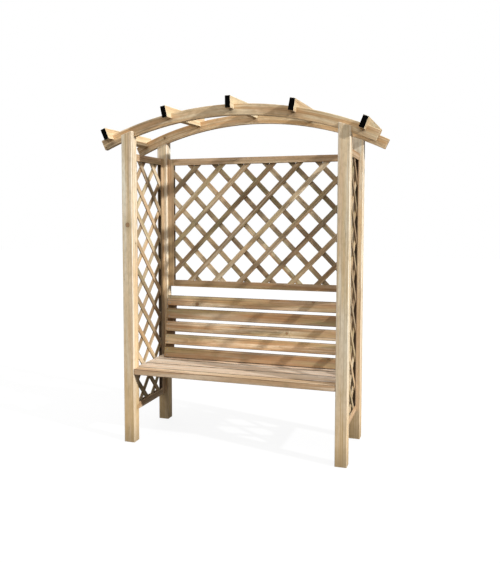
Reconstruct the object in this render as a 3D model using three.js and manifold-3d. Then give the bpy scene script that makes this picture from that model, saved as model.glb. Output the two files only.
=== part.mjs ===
// Timber garden arbour seat: four posts carry two curved arches and five rafters,
// trellis panels close the back and both sides, and a slatted bench has a raked backrest.
// Millimetres, +Z up, the front faces -Y, the origin is on the ground at the centre.
import * as THREE from 'three';
import { mergeVertices } from 'three/addons/utils/BufferGeometryUtils.js';
import Module from 'manifold-3d';

const wasm = await Module();
wasm.setup();

// Posts, with the overall width and depth taken over their outer faces
const widthOverPosts = 1510;
const depthOverPosts = 630;
const postSide = 75;
const postChamfer = 3;

// Arches, lapped into the posts' inner halves; the rear one rises more, so that the rafters fall forwards
const archEndHeight = 2036;
const frontArchRise = 199;
const rearArchRise = 211;
const archSpan = 1850;
const archDepth = 70;
const archThickness = 35;
const archCurveSteps = 40;
const cheekRise = 32;

// Rafters, notched over both arches and square to their curve, placed by shares of the arches' half span
const rafterPlaceShares = [-0.925, -0.466, 0, 0.437, 0.9];
const rafterOverhang = 35;
const rafterThickness = 35;
const rafterDepth = 75;
const rafterNotch = 32;

// Trellis panels: a grooved frame round two layers of slats, stapled together where they cross
const panelDrop = 95;
const backPanelHeight = 940;
const sidePanelGroundClearance = 200;
const panelThickness = 30;
const frameWidth = 46;
const grooveDepth = 12;
const slatWidth = 35;
const slatThickness = 8;
const slatPress = 0.2;
const meshWidth = 190;
const meshHeight = 196;
const tenonLength = 30;
const tenonThickness = 10;
const tenonShoulder = 4;
const tenonHeight = 28;

// Bench seat
const seatHeight = 504;
const seatThickness = 38;
const seatBoardWidth = 135;
const seatBoardCount = 3;
const seatBoardGap = 6;
const seatEndClearance = 1.5;
const railTenonLength = 25;
const railTenonDepth = 34;
const railTenonHeight = 18;
const bearerWidth = 55;
const bearerHeight = 34;
const bearerNoseLength = 60;
const bearerNoseRise = 16;
const bearerScrewDrop = 12;

// Backrest, measured up its slope from the seat's top
const backrestSetback = 410;
const backrestRake = THREE.MathUtils.degToRad(10);
const backBoardCount = 5;
const backBoardHeight = 75;
const backBoardThickness = 20;
const backBoardGap = 19;
const uprightWidth = 45;
const uprightDepth = 58;
const uprightTopDrop = 4;
const notchClearance = 2;

// Fasteners
const screwRadius = 3;
const screwHeadRadius = 6;
const screwHeadDepth = 5;
const screwPoint = 6;
const coachRadius = 4;
const coachHeadRadius = 7.5;
const coachHeadHeight = 5.5;
const screwSides = 12;
const coachSides = 6;

// Fits and cuts
const jointGap = 0.3;
const overrun = 5;

// How far a fastener reaches into the second piece that it holds
const screwBiteShare = 0.55;

// Sizes that follow from those above
const innerWidth = widthOverPosts - 2 * postSide;
const innerDepth = depthOverPosts - 2 * postSide;
const postX = (widthOverPosts - postSide) / 2;
const postY = (depthOverPosts - postSide) / 2;
const arches = { front: archCurve(frontArchRise), rear: archCurve(rearArchRise) };
const frontArchY = -depthOverPosts / 2 + postSide - archThickness / 2;
const cheekThickness = postSide - archThickness;
const panelInset = (postSide - panelThickness) / 2;
const panelTop = heightOnArch(arches.front, archDepth, postX) - panelDrop;
const latticeThickness = 2 * slatThickness - slatPress;
const latticeRecess = (panelThickness - latticeThickness) / 2;
const sidePanelInnerX = postX - panelThickness / 2;
const bearerTop = seatHeight - seatThickness - jointGap;
const bearerBottom = bearerTop - bearerHeight;
const bearerMiddleZ = (bearerBottom + bearerTop) / 2;
const bearerInnerX = sidePanelInnerX - jointGap - bearerWidth;
const uprightX = bearerInnerX - jointGap - uprightWidth / 2;
const uprightFrontY = backBoardThickness + jointGap;
const uprightBackY = uprightFrontY + uprightDepth;
const backBoardLift = (jointGap + backBoardThickness * Math.sin(backrestRake)) / Math.cos(backrestRake);
const backBoardPitch = backBoardHeight + backBoardGap;
const backrestHeight = backBoardLift + backBoardCount * backBoardPitch - backBoardGap;

// Circle of an arch's upper edge, from its rise over its ends
function archCurve(rise) {
  const halfSpan = archSpan / 2;
  const radius = (halfSpan * halfSpan + rise * rise) / (2 * rise);
  return { radius, centreZ: archEndHeight + rise - radius, halfAngle: Math.asin(halfSpan / radius) };
}

// Height of a curve that runs inside an arch's upper edge, at a distance across from its centre
function heightOnArch(arch, inset, x) {
  const radius = arch.radius - inset;
  return arch.centreZ + Math.sqrt(radius * radius - x * x);
}

const vector = (x, y, z) => new THREE.Vector3(x, y, z);

// Closed solid from a geometry, with shared corners merged and empty triangles left out
function toSolid(geometry) {
  const bare = geometry.clone();
  bare.deleteAttribute('normal');
  bare.deleteAttribute('uv');
  const merged = mergeVertices(bare);
  const index = merged.index.array;
  const triangles = [];
  for (let i = 0; i < index.length; i += 3) {
    const [a, b, c] = index.slice(i, i + 3);
    if (a !== b && b !== c && c !== a) triangles.push(a, b, c);
  }
  return new wasm.Manifold(new wasm.Mesh({
    numProp: 3,
    vertProperties: new Float32Array(merged.attributes.position.array),
    triVerts: new Uint32Array(triangles),
  }));
}

// Geometry with flat normals from a closed solid
function toGeometry(solid) {
  const { vertProperties, triVerts } = solid.getMesh();
  const indexed = new THREE.BufferGeometry();
  indexed.setAttribute('position', new THREE.BufferAttribute(new Float32Array(vertProperties), 3));
  indexed.setIndex(new THREE.BufferAttribute(new Uint32Array(triVerts), 1));
  const flat = indexed.toNonIndexed();
  flat.computeVertexNormals();
  return flat;
}

// Box between two opposite corners
function block([x0, y0, z0], [x1, y1, z1]) {
  const geometry = new THREE.BoxGeometry(x1 - x0, y1 - y0, z1 - z0);
  return geometry.translate((x0 + x1) / 2, (y0 + y1) / 2, (z0 + z1) / 2);
}

// Outline in the XZ plane, extruded from y0 to y1
function extrudeAlongY(shape, y0, y1, curveSegments = 1) {
  const geometry = new THREE.ExtrudeGeometry(shape, { depth: y1 - y0, bevelEnabled: false, curveSegments });
  return geometry.rotateX(Math.PI / 2).translate(0, y1, 0);
}

// Outline in the YZ plane, extruded from x0 to x1
function extrudeAlongX(points, x0, x1) {
  const geometry = new THREE.ExtrudeGeometry(outline(points), { depth: x1 - x0, bevelEnabled: false });
  const axes = new THREE.Matrix4().makeBasis(
    new THREE.Vector3(0, 1, 0),
    new THREE.Vector3(0, 0, 1),
    new THREE.Vector3(1, 0, 0),
  );
  return geometry.applyMatrix4(axes).translate(x0, 0, 0);
}

function outline(points) {
  return new THREE.Shape(points.map(([x, y]) => new THREE.Vector2(x, y)));
}

const colours = {
  post: 0xd2b792,
  arch: 0xb8946a,
  rafter: 0xc3a27c,
  frame: 0xcaa880,
  slat: 0xae8a63,
  seat: 0xd8bc9c,
  bearer: 0x9a7b58,
  backrest: 0xb08a5e,
  steel: 0x9b9a94,
};

function timber(colour) {
  return new THREE.MeshStandardMaterial({ color: colour, roughness: 0.86, metalness: 0 });
}

function steel() {
  return new THREE.MeshStandardMaterial({ color: colours.steel, roughness: 0.45, metalness: 0.85 });
}

const hands = [['left', -1], ['right', 1]];
const arbour = new THREE.Group();
const timberMeshes = [];

// Adds one named wooden piece, placed in its group
function addTimber(group, name, geometry, colour, place = [0, 0, 0]) {
  const mesh = new THREE.Mesh(geometry, timber(colour));
  mesh.name = name;
  mesh.position.set(...place);
  group.add(mesh);
  timberMeshes.push(mesh);
  return mesh;
}

// Post: square with eased corners, its inner half cut down to carry the arch
// and its outer cheek standing up beside the arch, both tops following the curve
function postSolid(arch, sideX, sideY) {
  const half = postSide / 2;
  const eased = half - postChamfer;
  const section = outline([
    [-eased, -half], [eased, -half], [half, -eased], [half, eased],
    [eased, half], [-eased, half], [-half, eased], [-half, -eased],
  ]);
  const height = heightOnArch(arch, 0, postX - half);
  const body = new THREE.ExtrudeGeometry(section, { depth: height, bevelEnabled: false });
  const cheekFace = half - cheekThickness;
  const lap = topCut(arch, archDepth, height, -half - overrun, cheekFace);
  const cheek = topCut(arch, archDepth - cheekRise, height, -half - overrun, half + overrun);
  const facing = new THREE.Matrix4().makeScale(sideX, sideY, 1);
  const cuts = [lap, cheek].map((cut) => toSolid(cut).transform(facing.elements));
  return toSolid(body).subtract(cuts[0]).subtract(cuts[1]);
}

// Space above the chord of an arch's curve over a right-hand post, inner side at -X, from y0 to y1
function topCut(arch, inset, height, y0, y1) {
  const reach = postSide / 2 + overrun;
  return extrudeAlongY(outline([
    [-reach, heightOnArch(arch, inset, postX - reach) - jointGap],
    [reach, heightOnArch(arch, inset, postX + reach) - jointGap],
    [reach, height + overrun],
    [-reach, height + overrun],
  ]), y0, y1);
}

function addPosts() {
  for (const [end, sideY] of [['front', -1], ['rear', 1]]) {
    for (const [hand, sideX] of hands) {
      const place = [sideX * postX, sideY * postY, 0];
      const mortises = railTenons(jointGap).translate(place.map((value) => -value));
      const solid = postSolid(arches[end], sideX, sideY).subtract(mortises);
      addTimber(arbour, `post_${end}_${hand}`, toGeometry(solid), colours.post, place);
    }
  }
}

// Curved board that follows an arch, with ends cut square to the curve, enlarged all round by a gap
function archBoard(arch, gap) {
  const shape = new THREE.Shape();
  const start = Math.PI / 2 - arch.halfAngle;
  const end = Math.PI / 2 + arch.halfAngle;
  shape.absarc(0, arch.centreZ, arch.radius + gap, start, end, false);
  shape.absarc(0, arch.centreZ, arch.radius - archDepth - gap, end, start, true);
  const halfThickness = archThickness / 2 - jointGap + gap;
  return extrudeAlongY(shape, -halfThickness, halfThickness, archCurveSteps);
}

function addArches() {
  addTimber(arbour, 'arch_front', archBoard(arches.front, 0), colours.arch, [0, frontArchY, 0]);
  addTimber(arbour, 'arch_rear', archBoard(arches.rear, 0), colours.arch, [0, -frontArchY, 0]);
}

// Frames of the rafters: each stands midway between the arches on their upper edges, with its length along Y
const rafterFrames = rafterPlaceShares.map((share) => {
  const x = share * archSpan / 2;
  const front = vector(x, frontArchY, heightOnArch(arches.front, 0, x));
  const rear = vector(x, -frontArchY, heightOnArch(arches.rear, 0, x));
  const along = rear.clone().sub(front).normalize();
  const angle = (Math.asin(x / arches.front.radius) + Math.asin(x / arches.rear.radius)) / 2;
  const across = along.clone().cross(vector(Math.sin(angle), 0, Math.cos(angle))).normalize();
  const out = across.clone().cross(along);
  return new THREE.Matrix4().makeBasis(across, along, out).setPosition(front.add(rear).divideScalar(2));
});

// Rafter: square to the arches' curve, with a notch over each arch
function addRafters() {
  const end = depthOverPosts / 2 + rafterOverhang;
  const bottom = -rafterNotch;
  const top = rafterDepth - rafterNotch;
  const room = 2 * jointGap;
  const notches = [
    toSolid(archBoard(arches.front, room)).translate([0, frontArchY, 0]),
    toSolid(archBoard(arches.rear, room)).translate([0, -frontArchY, 0]),
  ];
  rafterFrames.forEach((frame, i) => {
    const bar = block([-rafterThickness / 2, -end, bottom], [rafterThickness / 2, end, top]);
    const inward = frame.clone().invert().elements;
    const solid = notches.reduce((kept, notch) => kept.subtract(notch.transform(inward)), toSolid(bar));
    addTimber(arbour, `rafter_${i + 1}`, toGeometry(solid), colours.rafter).applyMatrix4(frame);
  });
}

// Keeps the part of a convex outline where x * nx + z * nz stays under the limit
function clip(points, nx, nz, limit) {
  const kept = [];
  points.forEach((a, i) => {
    const b = points[(i + 1) % points.length];
    const fromA = a[0] * nx + a[1] * nz - limit;
    const fromB = b[0] * nx + b[1] * nz - limit;
    if (fromA <= 0) kept.push(a);
    if (fromA * fromB < 0) {
      const t = fromA / (fromA - fromB);
      kept.push([a[0] + t * (b[0] - a[0]), a[1] + t * (b[1] - a[1])]);
    }
  });
  return kept;
}

// Sloping slats that fill a grooved opening, centred on it, as one layer; slope is 1 or -1
function latticeLayer(openingWidth, openingHeight, slope, y0) {
  const halfMeshX = meshWidth / 2;
  const halfMeshZ = meshHeight / 2;
  const length = Math.hypot(halfMeshX, halfMeshZ);
  const along = [halfMeshX / length, slope * halfMeshZ / length];
  const across = [-along[1], along[0]];
  const reach = openingWidth + openingHeight;
  const edgeX = openingWidth / 2 + grooveDepth - jointGap;
  const edgeZ = openingHeight / 2 + grooveDepth - jointGap;
  const cells = openingWidth / meshWidth + openingHeight / meshHeight;
  const last = cells - slatWidth / Math.min(halfMeshX, halfMeshZ);
  const slats = [];
  for (let n = 1; n < last; n += 2) {
    for (const line of [-n, n]) {
      const centre = [line * halfMeshX, 0];
      const corner = (s, t) => [
        centre[0] + s * reach * along[0] + t * slatWidth / 2 * across[0],
        centre[1] + s * reach * along[1] + t * slatWidth / 2 * across[1],
      ];
      let points = [corner(-1, -1), corner(1, -1), corner(1, 1), corner(-1, 1)];
      points = clip(points, 1, 0, edgeX);
      points = clip(points, -1, 0, edgeX);
      points = clip(points, 0, 1, edgeZ);
      points = clip(points, 0, -1, edgeZ);
      slats.push(toSolid(extrudeAlongY(outline(points), y0, y0 + slatThickness)));
    }
  }
  return slats.reduce((joined, slat) => joined.add(slat));
}

// Trellis panel in its own frame: face at y 0 towards -Y, bottom at z 0, centred on x
function addPanel(group, name, width, height, stileNames, frontSlope) {
  const openingX = width / 2 - frameWidth;
  const openingTop = height - frameWidth;
  const groove = toSolid(block(
    [-openingX - grooveDepth, latticeRecess - jointGap, frameWidth - grooveDepth],
    [openingX + grooveDepth, latticeRecess + latticeThickness + jointGap, openingTop + grooveDepth],
  ));
  const tenonY = (panelThickness - tenonThickness) / 2;
  const tenons = [tenonShoulder, height - tenonShoulder - tenonHeight];
  const tenonBox = (gap, z) => toSolid(block(
    [-openingX - tenonLength - gap, tenonY - gap, z - gap],
    [openingX + tenonLength + gap, tenonY + tenonThickness + gap, z + tenonHeight + gap],
  ));

  const rails = [['bottom_rail', 0, tenons[0]], ['top_rail', openingTop, tenons[1]]];
  for (const [railName, z, tenonZ] of rails) {
    const ends = openingX - jointGap;
    const bar = toSolid(block([-ends, 0, z], [ends, panelThickness, z + frameWidth]));
    const rail = bar.subtract(groove).add(tenonBox(0, tenonZ));
    addTimber(group, `${name}_${railName}`, toGeometry(rail), colours.frame);
  }

  stileNames.forEach((stileName, i) => {
    const inner = i === 0 ? -openingX : openingX;
    const outer = i === 0 ? -width / 2 + jointGap : width / 2 - jointGap;
    const bar = toSolid(block(
      [Math.min(inner, outer), 0, 0],
      [Math.max(inner, outer), panelThickness, height],
    ));
    const mortised = tenons.reduce((solid, z) => solid.subtract(tenonBox(jointGap, z)), bar);
    addTimber(group, `${name}_${stileName}`, toGeometry(mortised.subtract(groove)), colours.frame);
  });

  const opening = [2 * openingX, openingTop - frameWidth];
  const front = latticeLayer(...opening, frontSlope, latticeRecess);
  const back = latticeLayer(...opening, -frontSlope, latticeRecess + slatThickness - slatPress);
  addTimber(group, `${name}_lattice`, toGeometry(front.add(back)), colours.slat, [0, 0, height / 2]);
}

// Puts a panel in a group whose -Y side is the panel's face
function placePanel(name, width, height, stileNames, frontSlope, place, turn) {
  const group = new THREE.Group();
  group.position.set(...place);
  group.rotation.z = turn;
  arbour.add(group);
  addPanel(group, name, width, height, stileNames, frontSlope);
}

function addPanels() {
  const backFaceY = depthOverPosts / 2 - postSide + panelInset;
  const backPlace = [0, backFaceY, panelTop - backPanelHeight];
  placePanel('back', innerWidth, backPanelHeight, ['left_stile', 'right_stile'], 1, backPlace, 0);
  const sideHeight = panelTop - sidePanelGroundClearance;
  for (const [hand, side] of hands) {
    const faceX = side * postX + panelThickness / 2;
    const place = [faceX, 0, sidePanelGroundClearance];
    placePanel(hand, innerDepth, sideHeight, ['front_stile', 'rear_stile'], -1, place, Math.PI / 2);
  }
}

// Depth of the seat boards' front edges behind the posts' front faces
function seatBoardFront(i) {
  return -depthOverPosts / 2 + postSide + seatBoardGap + i * (seatBoardWidth + seatBoardGap);
}

// Stub tenons at both ends of the seat's front rail, with their cheeks moved out by a gap
function railTenons(gap) {
  const reach = innerWidth / 2 + railTenonLength + gap;
  const halfY = railTenonDepth / 2 + gap;
  const halfZ = railTenonHeight / 2 + gap;
  const z = seatHeight - seatThickness / 2;
  return toSolid(block([-reach, -postY - halfY, z - halfZ], [reach, -postY + halfY, z + halfZ]));
}

// Seat: a front rail between the posts, then boards that reach the side panels,
// notched round the backrest's uprights
function addSeat() {
  const bottom = seatHeight - seatThickness;
  const front = -depthOverPosts / 2;
  const railEnd = innerWidth / 2 - jointGap;
  const rail = toSolid(block([-railEnd, front, bottom], [railEnd, front + postSide, seatHeight]));
  addTimber(arbour, 'seat_front_rail', toGeometry(rail.add(railTenons(0))), colours.seat);

  const boardEnd = sidePanelInnerX - seatEndClearance;
  const notch = uprightNotches(bottom);
  for (let i = 0; i < seatBoardCount; i += 1) {
    const y = seatBoardFront(i);
    const board = toSolid(block([-boardEnd, y, bottom], [boardEnd, y + seatBoardWidth, seatHeight]));
    addTimber(arbour, `seat_board_${i + 1}`, toGeometry(board.subtract(notch)), colours.seat);
  }
}

// Spaces that the seat boards leave for the uprights, open to the rear
function uprightNotches(bottom) {
  const reach = uprightWidth / 2 + notchClearance;
  const frontY = -depthOverPosts / 2 + backrestSetback + uprightFrontY / Math.cos(backrestRake)
    - seatThickness * Math.tan(backrestRake) - notchClearance;
  const rearY = depthOverPosts / 2;
  const sides = [-uprightX, uprightX].map((x) => toSolid(block(
    [x - reach, frontY, bottom - overrun],
    [x + reach, rearY, seatHeight + overrun],
  )));
  return sides[0].add(sides[1]);
}

// Bearers: one along each side panel between the posts, with the front end sloped up underneath
function addBearers() {
  const end = innerDepth / 2 - jointGap;
  const profile = [
    [-end, bearerBottom + bearerNoseRise], [-end + bearerNoseLength, bearerBottom],
    [end, bearerBottom], [end, bearerTop], [-end, bearerTop],
  ];
  for (const [hand, side] of hands) {
    const geometry = extrudeAlongX(profile, -bearerWidth / 2, bearerWidth / 2);
    const x = side * (bearerInnerX + bearerWidth / 2);
    addTimber(arbour, `seat_bearer_${hand}`, geometry, colours.bearer, [x, 0, 0]);
  }
}

// Backrest in a leaning group: z runs up the slope from the seat's top, y runs back
const backrest = new THREE.Group();

function addBackrest() {
  backrest.position.set(0, -depthOverPosts / 2 + backrestSetback, seatHeight);
  backrest.rotation.x = -backrestRake;
  arbour.add(backrest);

  const end = uprightX + uprightWidth / 2;
  for (let i = 0; i < backBoardCount; i += 1) {
    const z = backBoardLift + i * backBoardPitch;
    const geometry = block([-end, 0, z], [end, backBoardThickness, z + backBoardHeight]);
    addTimber(backrest, `backrest_board_${i + 1}`, geometry, colours.backrest);
  }

  const foot = (y) => (bearerBottom - seatHeight + y * Math.sin(backrestRake)) / Math.cos(backrestRake);
  const top = backrestHeight - uprightTopDrop;
  const profile = [
    [uprightFrontY, foot(uprightFrontY)], [uprightBackY, foot(uprightBackY)],
    [uprightBackY, top], [uprightFrontY, top],
  ];
  for (const [hand, side] of hands) {
    const geometry = extrudeAlongX(profile, -uprightWidth / 2, uprightWidth / 2);
    addTimber(backrest, `backrest_upright_${hand}`, geometry, colours.backrest, [side * uprightX, 0, 0]);
  }
}

// Body turned about the y axis, with its point down and the seat of its head at y 0
function turned(profile, sides) {
  return new THREE.LatheGeometry(profile.map(([r, y]) => new THREE.Vector2(r, y)), sides);
}

function countersunkScrew(length, gap) {
  return turned([
    [0, -length - gap], [screwRadius + gap, screwPoint - length], [screwRadius + gap, -screwHeadDepth],
    [screwHeadRadius + gap, 0], [screwHeadRadius + gap, 2 * gap], [0, 2 * gap],
  ], screwSides);
}

function coachScrew(length, gap) {
  const headTop = coachHeadHeight + gap;
  return turned([
    [0, -length - gap], [coachRadius + gap, screwPoint - length], [coachRadius + gap, -gap],
    [coachHeadRadius + gap, -gap], [coachHeadRadius + gap, headTop], [0, headTop],
  ], coachSides);
}

const drillings = [];

// Adds a fastener driven along a direction from a point, and the slightly larger hole it needs
function addFastener(name, shape, length, point, direction) {
  const mesh = new THREE.Mesh(shape(length, 0), steel());
  mesh.name = name;
  mesh.position.copy(point);
  mesh.quaternion.setFromUnitVectors(new THREE.Vector3(0, -1, 0), direction);
  mesh.updateMatrix();
  arbour.add(mesh);
  drillings.push(toSolid(shape(length, jointGap).applyMatrix4(mesh.matrix)));
}

// Screws from behind through each lap: arch into cheek at the front, cheek into arch at the rear
function addArchScrews() {
  const inset = archDepth - cheekRise / 2;
  const length = archThickness + screwBiteShare * cheekThickness;
  const lengthRear = cheekThickness + screwBiteShare * archThickness;
  const frontFace = -depthOverPosts / 2 + postSide - 2 * jointGap;
  const rearFace = depthOverPosts / 2 - jointGap;
  for (const [hand, side] of hands) {
    const x = side * postX;
    const forward = vector(0, -1, 0);
    const front = vector(x, frontFace, heightOnArch(arches.front, inset, postX));
    const rear = vector(x, rearFace, heightOnArch(arches.rear, inset, postX));
    addFastener(`arch_screw_front_${hand}`, countersunkScrew, length, front, forward);
    addFastener(`arch_screw_rear_${hand}`, countersunkScrew, lengthRear, rear, forward);
  }
}

// One screw down through each rafter into each arch
function addRafterScrews() {
  const headZ = rafterDepth - rafterNotch - jointGap;
  const length = rafterDepth - rafterNotch + screwBiteShare * archDepth;
  rafterFrames.forEach((frame, i) => {
    const inward = vector(0, 0, -1).transformDirection(frame);
    for (const [end, y] of [['front', frontArchY], ['rear', -frontArchY]]) {
      const point = vector(0, y, headZ).applyMatrix4(frame);
      addFastener(`rafter_screw_${i + 1}_${end}`, countersunkScrew, length, point, inward);
    }
  });
}

// A coach screw through each end of each bearer into the side panel's stile
function addBearerScrews() {
  const faceX = bearerInnerX - jointGap;
  const length = bearerWidth + screwBiteShare * panelThickness;
  const stileY = (innerDepth - frameWidth) / 2;
  for (const [hand, side] of hands) {
    for (const [end, y] of [['front', -stileY], ['rear', stileY]]) {
      const point = vector(side * faceX, y, bearerTop - bearerScrewDrop);
      addFastener(`bearer_screw_${end}_${hand}`, coachScrew, length, point, vector(side, 0, 0));
    }
  }
}

// A coach screw from the inside through each upright's foot into the bearer
function addUprightScrews() {
  const innerX = uprightX - uprightWidth / 2 - jointGap;
  const length = uprightWidth + screwBiteShare * bearerWidth;
  const lean = (bearerMiddleZ - seatHeight) * Math.tan(backrestRake);
  const middle = (uprightFrontY + uprightBackY) / 2 / Math.cos(backrestRake);
  const y = -depthOverPosts / 2 + backrestSetback + lean + middle;
  for (const [hand, side] of hands) {
    const point = vector(side * innerX, y, bearerMiddleZ);
    addFastener(`upright_screw_${hand}`, coachScrew, length, point, vector(side, 0, 0));
  }
}

// Drills every wooden piece where a fastener passes through it
function drillTimbers() {
  const reachOf = (solid) => {
    const { min, max } = solid.boundingBox();
    return new THREE.Box3(vector(...min), vector(...max));
  };
  const drills = drillings.map((solid) => ({ solid, reach: reachOf(solid) }));
  for (const mesh of timberMeshes) {
    mesh.updateWorldMatrix(true, false);
    const toWorld = mesh.matrixWorld;
    const toLocal = toWorld.clone().invert();
    mesh.geometry.computeBoundingBox();
    const reach = mesh.geometry.boundingBox.clone().applyMatrix4(toWorld);
    const near = drills.filter((drill) => drill.reach.intersectsBox(reach));
    if (near.length === 0) continue;
    const body = near.reduce(
      (solid, drill) => solid.subtract(drill.solid.transform(toLocal.elements)),
      toSolid(mesh.geometry),
    );
    mesh.geometry = toGeometry(body);
  }
}

addPosts();
addArches();
addRafters();
addPanels();
addSeat();
addBearers();
addBackrest();
addArchScrews();
addRafterScrews();
addBearerScrews();
addUprightScrews();
drillTimbers();

export default arbour;
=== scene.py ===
# Garden arbour seat: rounded arrises, pine finishes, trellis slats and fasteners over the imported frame.
# Metres, +Z up, the front faces -Y.
import bmesh
import bpy
import math
from mathutils import Matrix, Vector


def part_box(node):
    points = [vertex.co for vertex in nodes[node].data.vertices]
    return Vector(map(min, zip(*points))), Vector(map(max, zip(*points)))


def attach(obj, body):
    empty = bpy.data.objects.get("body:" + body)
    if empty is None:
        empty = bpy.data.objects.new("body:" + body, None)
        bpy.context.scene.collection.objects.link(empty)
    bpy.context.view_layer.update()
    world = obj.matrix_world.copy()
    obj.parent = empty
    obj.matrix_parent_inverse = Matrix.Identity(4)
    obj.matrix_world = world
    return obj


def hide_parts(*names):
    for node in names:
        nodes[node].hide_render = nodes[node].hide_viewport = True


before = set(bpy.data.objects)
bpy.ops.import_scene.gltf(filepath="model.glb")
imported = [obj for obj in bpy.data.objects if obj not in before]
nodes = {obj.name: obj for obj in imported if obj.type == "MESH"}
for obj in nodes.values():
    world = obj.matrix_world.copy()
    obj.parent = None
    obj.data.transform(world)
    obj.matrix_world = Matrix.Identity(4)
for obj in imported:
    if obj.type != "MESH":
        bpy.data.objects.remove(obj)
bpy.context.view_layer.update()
print("frame loaded:", len(nodes), "pieces")

xAxis, yAxis, zAxis = Vector((1, 0, 0)), Vector((0, 1, 0)), Vector((0, 0, 1))
white = (1, 1, 1, 1)


# Node tree helpers

def screenColour(red, green, blue):
    # 0 to 255 as seen on a screen, turned to the linear values that shaders use
    def one(value):
        share = value / 255
        return share / 12.92 if share <= 0.04045 else ((share + 0.055) / 1.055) ** 2.4
    return (one(red), one(green), one(blue), 1)


def put(tree, kind, inputs=None, **settings):
    node = tree.nodes.new(kind)
    for name, value in settings.items():
        setattr(node, name, value)
    for socket, value in (inputs or {}).items():
        if isinstance(value, bpy.types.NodeSocket):
            tree.links.new(value, node.inputs[socket])
        else:
            node.inputs[socket].default_value = value
    return node


def calc(tree, operation, first, second=0.0):
    return put(tree, "ShaderNodeMath", {0: first, 1: second}, operation=operation).outputs[0]


def times(tree, first, *others):
    for other in others:
        first = calc(tree, "MULTIPLY", first, other)
    return first


def plus(tree, first, *others):
    for other in others:
        first = calc(tree, "ADD", first, other)
    return first


def hypotenuse(tree, first, second):
    return calc(tree, "SQRT", plus(tree, times(tree, first, first), times(tree, second, second)))


def vectorCalc(tree, operation, first, second):
    return put(tree, "ShaderNodeVectorMath", {0: first, 1: second}, operation=operation).outputs[0]


def ramp(tree, value, low, high, lowOut=0.0, highOut=1.0):
    inputs = {"Value": value, "From Min": low, "From Max": high, "To Min": lowOut, "To Max": highOut}
    return put(tree, "ShaderNodeMapRange", inputs, interpolation_type="SMOOTHSTEP").outputs[0]


def mix(tree, share, first, second, kind="MIX"):
    return put(tree, "ShaderNodeMix", {0: share, 6: first, 7: second}, data_type="RGBA", blend_type=kind).outputs[2]


# Repeats are per metre, in each direction of the vector
def noise(tree, vector, repeats, detail=2.0, roughness=0.5):
    inputs = {"Vector": vectorCalc(tree, "MULTIPLY", vector, repeats), "Scale": 1.0, "Detail": detail,
              "Roughness": roughness}
    return put(tree, "ShaderNodeTexNoise", inputs).outputs[0]


def noiseMask(tree, vector, repeats, low, high, lowOut=0.0, highOut=1.0, detail=2.0, roughness=0.5):
    return ramp(tree, noise(tree, vector, repeats, detail, roughness), low, high, lowOut, highOut)


def objectPlace(tree):
    return put(tree, "ShaderNodeTexCoord").outputs["Object"]


def xyzOf(tree, vector):
    return put(tree, "ShaderNodeSeparateXYZ", {0: vector}).outputs


def newGroup(name, inputs, outputs):
    group = bpy.data.node_groups.new(name, "ShaderNodeTree")
    for socketName, (kind, value) in inputs.items():
        socket = group.interface.new_socket(name=socketName, in_out="INPUT", socket_type="NodeSocket" + kind)
        if value is not None:
            socket.default_value = value
    for socketName, kind in outputs.items():
        group.interface.new_socket(name=socketName, in_out="OUTPUT", socket_type="NodeSocket" + kind)
    start = group.nodes.new("NodeGroupInput")
    end = group.nodes.new("NodeGroupOutput")
    return group, start.outputs, end.inputs


def emptyMaterial(name):
    material = bpy.data.materials.new(name)
    material.use_nodes = True
    material.node_tree.nodes.clear()
    return material, material.node_tree


# Grain of sawn pine: x runs along the board, y and z across it, in metres. The values of each noise from low to
# high are drawn out to 0 and 1. Where two numbers stand for a range it goes the same way, and where four do, the
# last two are what it is drawn out to
figureNoises = {
    "Lines": {"repeats": (1.2, 120, 120), "low": 0.50, "high": 0.68, "roughness": 0.6},
    "Patches": {"repeats": (2.6, 9, 9), "low": 0.36, "high": 0.64},
    "Mottle": {"repeats": (26, 60, 60), "low": 0.42, "high": 0.68, "detail": 4, "roughness": 0.7},
    "Board Tone": {"repeats": (0.13, 0.4, 0.4), "low": 0.38, "high": 0.62, "detail": 0},
}
streakNoise = {"low": 0.36, "high": 0.64, "detail": 3}
streakRepeatsAlong = 1.7
fibreNoise = {"repeats": (16, 620, 620), "roughness": 0.6}


def addFigure(tree, vector, given, wanted):
    fine = calc(tree, "DIVIDE", 1.0, given["Streak Width"])
    streakRepeats = put(tree, "ShaderNodeCombineXYZ", {0: streakRepeatsAlong, 1: fine, 2: fine}).outputs[0]
    tree.links.new(noiseMask(tree, vector, streakRepeats, **streakNoise), wanted["Streaks"])
    for name, values in figureNoises.items():
        tree.links.new(noiseMask(tree, vector, **values), wanted[name])
    tree.links.new(noise(tree, vector, **fibreNoise), wanted["Fibres"])


# Knots: small balls scattered through the wood, cut by the board's faces. Distances are in radii of the knot
knotShape = {
    "bendRepeats": 60.0,
    "bend": (0.006, 0.008, 0.008),
    "smallest": 0.55,    # of the group's knot size
    "largest": 1.25,
    "edge": (1.15, 0.8),
    "heartRings": 3.4,    # to a radius
    "heartRing": (0.2, 0.9, 0.0, 0.55),
    "rim": (0.66, 0.9),
    "haloReach": 2.2,
}


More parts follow.
